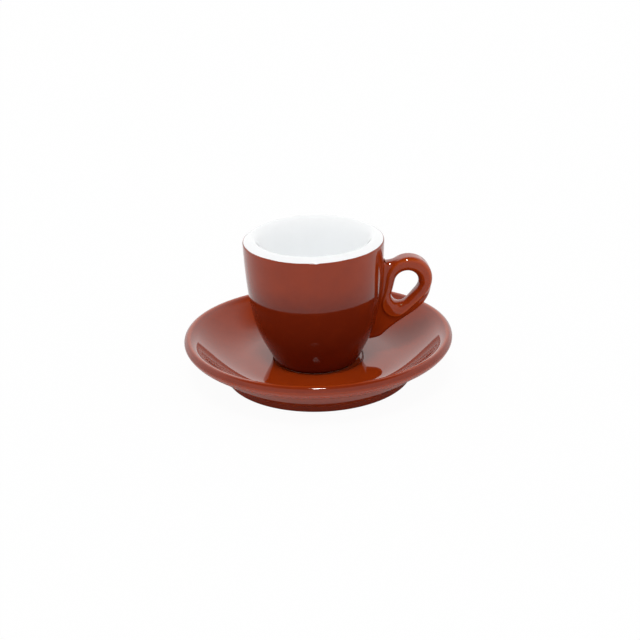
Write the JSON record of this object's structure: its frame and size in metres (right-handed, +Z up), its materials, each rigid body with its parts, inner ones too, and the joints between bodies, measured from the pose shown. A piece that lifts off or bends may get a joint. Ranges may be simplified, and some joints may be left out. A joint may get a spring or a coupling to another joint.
{
  "type": "espresso cup and saucer",
  "caption": "Thick-walled stoneware espresso cup with a ring handle, white inside and glazed brown outside, standing in the seat of a round brown saucer with a rolled lip.",
  "frame": {"origin": "on the table, under the middle of the saucer", "axes": "+Z up, +X along the cup's handle, away from the cup"},
  "size_m": [0.12, 0.12, 0.0653],
  "materials": {
    "brown_glaze": "glossy red-brown glaze on stoneware",
    "white_glaze": "glossy white glaze on stoneware"
  },
  "bodies": {
    "saucer": {"saucer": "brown_glaze"},
    "cup": {"cup_bowl": "white_glaze", "cup_outer_glaze": "brown_glaze", "cup_handle": "brown_glaze"}
  },
  "joints": [
    {"name": "cup_lift", "type": "slide", "parent": "saucer", "child": "cup", "axis": [0, 0, 1], "range_m": [0, 0.06]}
  ]
}
